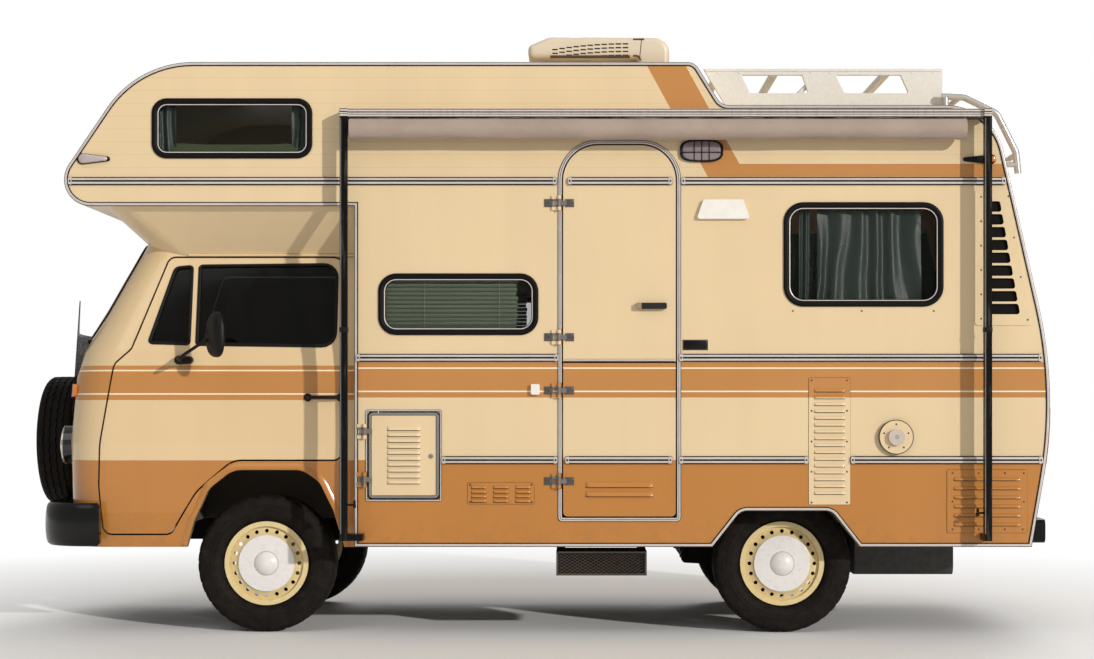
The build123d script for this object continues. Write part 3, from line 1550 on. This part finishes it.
# Roof air conditioner: a moulded shroud with vented sides over a base pan
aircon_length = 690
aircon_width = 600
aircon_height = 239
aircon_from_front = 777
aircon_nose_x = coach_front_x + aircon_from_front
aircon_edge_height = 130
aircon_tail_clearance = 20
aircon_tail_length = 138
aircon_tail_slope = 20
aircon_nose_radius = 55
aircon_brow_run = 105
aircon_brow_drop = 45
aircon_back_radius = 75
aircon_lip_radius = 10
aircon_shoulder_radius = 28
aircon_pan_margin = 70
aircon_pan_length = 480
aircon_groove_width = 4
aircon_groove_depth = 5
aircon_groove_lean = 26
aircon_groove_from_nose = 554
aircon_top = roof_height + aircon_height
aircon_low = roof_height + aircon_edge_height
aircon_back_x = aircon_nose_x + aircon_length
aircon_tail_x = aircon_back_x - aircon_tail_length
aircon_corners = [
    (aircon_nose_x, aircon_low),
    (aircon_tail_x - aircon_tail_slope, aircon_low),
    (aircon_tail_x, roof_height + aircon_tail_clearance),
    (aircon_back_x, roof_height + aircon_tail_clearance),
    (aircon_back_x, aircon_top),
    (aircon_nose_x + aircon_brow_run, aircon_top),
    (aircon_nose_x, aircon_top - aircon_brow_drop),
]
aircon_radii = [
    aircon_nose_radius / 2,
    aircon_lip_radius,
    aircon_lip_radius,
    aircon_lip_radius,
    aircon_back_radius,
    aircon_back_radius,
    aircon_nose_radius / 2,
]
# Vents of the shroud's sides: columns along the side, rows down from a bowed top line
aircon_vent_column_count = 11
aircon_vent_row_count = 4
aircon_vent_length = 27
aircon_vent_height = 7
aircon_vent_depth = 6
aircon_vent_pitch = 34.4
aircon_row_pitch = 18.5
aircon_first_vent_from_nose = 131
aircon_last_vent_drop = 37
aircon_vent_bow = 28

with BuildPart() as aircon_shroud:
    extrude(outline(side_plane(aircon_width / 2), aircon_corners, aircon_radii), amount=aircon_width)
    brow_edges = edges().filter_by_position(Axis.Z, aircon_top - aircon_back_radius, aircon_top)
    fillet(brow_edges.filter_by(Axis.Y, reverse=True), radius=aircon_shoulder_radius)
    with BuildSketch(side_plane(aircon_width / 2)):
        for column in range(aircon_vent_column_count):
            from_last_share = 1 - column / (aircon_vent_column_count - 1)
            vent_x = aircon_nose_x + aircon_first_vent_from_nose + column * aircon_vent_pitch
            first_z = aircon_top - aircon_last_vent_drop - aircon_vent_bow * from_last_share**2
            for row in range(aircon_vent_row_count):
                vent_z = first_z - row * aircon_row_pitch
                if vent_z > aircon_low + aircon_vent_height:
                    with Locations((vent_x, vent_z)):
                        Rectangle(aircon_vent_length, aircon_vent_height)
    extrude(amount=aircon_vent_depth, mode=Mode.SUBTRACT)

with BuildPart() as roof_air_conditioner:
    add(aircon_shroud.part)
    add(mirror(aircon_shroud.part, about=Plane.XZ), mode=Mode.INTERSECT)
    with BuildPart(mode=Mode.PRIVATE) as groove:
        groove_x = aircon_nose_x + aircon_groove_from_nose
        groove_corners = [
            (groove_x - aircon_groove_lean, roof_height),
            (groove_x - aircon_groove_lean + aircon_groove_width, roof_height),
            (groove_x + aircon_groove_width, aircon_top + aircon_groove_depth),
            (groove_x, aircon_top + aircon_groove_depth),
        ]
        extrude(outline(side_plane(aircon_width / 2), groove_corners, 0), amount=aircon_width)
        core_half = aircon_width / 2 - aircon_groove_depth
        core = outline(side_plane(core_half), aircon_corners, aircon_radii, -aircon_groove_depth)
        extrude(core, amount=2 * core_half, mode=Mode.SUBTRACT)
    add(groove.part, mode=Mode.SUBTRACT)
    with BuildSketch(Plane.XY.offset(roof_height)):
        with Locations((aircon_nose_x + aircon_pan_margin + aircon_pan_length / 2, 0)):
            pan_width = aircon_width - 2 * aircon_pan_margin
            RectangleRounded(aircon_pan_length, pan_width, aircon_pan_margin)
    extrude(amount=aircon_edge_height + aircon_lip_radius)
finish(roof_air_conditioner.part, "roof_air_conditioner")

# Roof rack on the low roof: two side frames with a sloped front, joined by cross bars
rack_front_from_step = 50
rack_front_x = roof_step_x + rack_front_from_step
rack_length = 1106
rack_back_x = rack_front_x + rack_length
rack_top_above_low_roof = 191
rack_top = low_roof_height + rack_top_above_low_roof
rack_bar = 28
rack_half = 800
rack_slope_run = 115
rack_opening_low = 78
rack_opening_high = 163
rack_opening_corner = 8
# Openings of a rack side, from its front end. Columns: low front, low back, high back, high front, as shares
rack_opening_shares = [
    (0.1944, 0.4394, 0.4141, 0.1564),
    (0.5895, 0.8608, 0.8264, 0.5515),
]
rack_bar_shares = [0.06, 0.30, 0.535, 0.77, 0.97]
with BuildPart() as roof_rack:
    for side in (-1, 1):
        frame_plane = side_plane(side * rack_half + rack_bar / 2)
        frame_corners = [
            (rack_front_x + rack_slope_run, low_roof_height),
            (rack_back_x, low_roof_height),
            (rack_back_x, rack_top),
            (rack_front_x, rack_top),
        ]
        extrude(outline(frame_plane, frame_corners, 0), amount=rack_bar)
        for opening_shares in rack_opening_shares:
            levels = (rack_opening_low, rack_opening_low, rack_opening_high, rack_opening_high)
            opening_corners = []
            for share, level in zip(opening_shares, levels):
                corner_x = rack_front_x + share * (rack_back_x - rack_front_x)
                opening_corners.append((corner_x, low_roof_height + level))
            opening = outline(frame_plane, opening_corners, rack_opening_corner)
            extrude(opening, amount=rack_bar, mode=Mode.SUBTRACT)
    for share in rack_bar_shares:
        with BuildSketch(side_plane(rack_half)):
            with Locations((rack_front_x + share * (rack_back_x - rack_front_x), rack_top - rack_bar / 2)):
                Rectangle(rack_bar, rack_bar)
        extrude(amount=2 * rack_half)
finish(roof_rack.part, "roof_rack")

# Skylight, a shallow dome on a flat frame between the rack's bars
skylight_length = 400
skylight_width = 400
skylight_frame_height = 40
skylight_height = 110
skylight_taper = 25
skylight_from_rack_front = 487
skylight_x = rack_front_x + skylight_from_rack_front
with BuildPart() as roof_skylight:
    with BuildSketch(Plane.XY.offset(low_roof_height)):
        with Locations((skylight_x, 0)):
            RectangleRounded(skylight_length, skylight_width, skylight_frame_height)
    extrude(amount=skylight_frame_height)
    with BuildSketch(Plane.XY.offset(low_roof_height + skylight_frame_height)):
        with Locations((skylight_x, 0)):
            dome_length = skylight_length - skylight_frame_height
            dome_width = skylight_width - skylight_frame_height
            RectangleRounded(dome_length, dome_width, skylight_frame_height)
    extrude(amount=skylight_height - skylight_frame_height, taper=skylight_taper)
finish(roof_skylight.part, "roof_skylight")

# Roof ladder's upper hoop, two bent tubes joined by rungs
ladder_radius = 16
ladder_sides = [850, 450]
ladder_rung_radius = 13
ladder_reach = 140
ladder_lift = 58
ladder_bend = 60
# Columns: along from the roof's rear end, as a share of the reach, and up, as a share of the lift
ladder_route_shares = [
    (-1.514, 1.000),
    (-0.786, 0.931),
    (0.286, -0.345),
    (0.929, -3.448),
    (1.000, -5.121),
]
ladder_start_x = rear_axle_x + rear_top_overhang
ladder_route = []
for along_share, up_share in ladder_route_shares:
    place = (ladder_start_x + along_share * ladder_reach, low_roof_height + up_share * ladder_lift)
    ladder_route.append(place)
ladder_foot_length = 40
ladder_rung_shares = [0.15, 0.85]
with BuildPart() as roof_ladder:
    for side in ladder_sides:
        route_points = [(x, -side, z) for x, z in ladder_route]
        with BuildLine() as ladder_line:
            FilletPolyline(*route_points, radius=ladder_bend)
        with BuildSketch(Plane(origin=ladder_line.line @ 0, z_dir=ladder_line.line % 0)):
            Circle(ladder_radius)
        sweep(path=ladder_line.line)
        # A foot down to the roof and a stay forward to the rear wall
        with BuildSketch(Plane.XY.offset(low_roof_height)):
            with Locations((ladder_route[0][0] + ladder_radius, -side)):
                Circle(ladder_radius)
        extrude(amount=ladder_route[0][1] - low_roof_height)
    for share in ladder_rung_shares:
        rung_at = ladder_line.line @ share
        with BuildSketch(side_plane(-ladder_sides[1])):
            with Locations((rung_at.X, rung_at.Z)):
                Circle(ladder_rung_radius)
        extrude(amount=ladder_sides[0] - ladder_sides[1])
    end = ladder_route[-1]
    for side in ladder_sides:
        with BuildSketch(Plane.YZ.offset(shell_split_x)):
            with Locations((-side, end[1] + ladder_foot_length)):
                Circle(ladder_rung_radius)
        extrude(amount=end[0] - shell_split_x)
    add(wrap_solid.part, mode=Mode.SUBTRACT)
finish(roof_ladder.part, "roof_ladder")

# Entrance step, an open tray hung under the door
step_length = 415
step_top = 387
step_low = 275
step_reach = 240
step_inset = 60
step_out = coach_half - step_inset
step_sheet = 6
step_hanger = 40
step_from_front = 1128
step_x = coach_front_x + step_from_front
with BuildPart() as entry_step:
    with BuildSketch(Plane.XY.offset(step_low)):
        with Locations((step_x, -step_out + step_reach / 2)):
            Rectangle(step_length, step_reach)
    extrude(amount=step_top - step_low)
    with BuildSketch(side_plane(-step_out + step_reach)):
        with Locations((step_x, (step_low + step_top) / 2)):
            Rectangle(step_length - 2 * step_sheet, step_top - step_low - 2 * step_sheet)
    extrude(amount=step_reach - step_sheet, mode=Mode.SUBTRACT)
    for end_side in (-1, 1):
        with BuildSketch(Plane.XY.offset(step_top - step_sheet)):
            hanger_x = step_x + end_side * (step_length - step_hanger) / 2
            with Locations((hanger_x, -step_out + step_reach - step_hanger / 2)):
                Rectangle(step_hanger, step_hanger)
        extrude(amount=floor_height - step_top + step_sheet)
finish(entry_step.part, "entry_step")
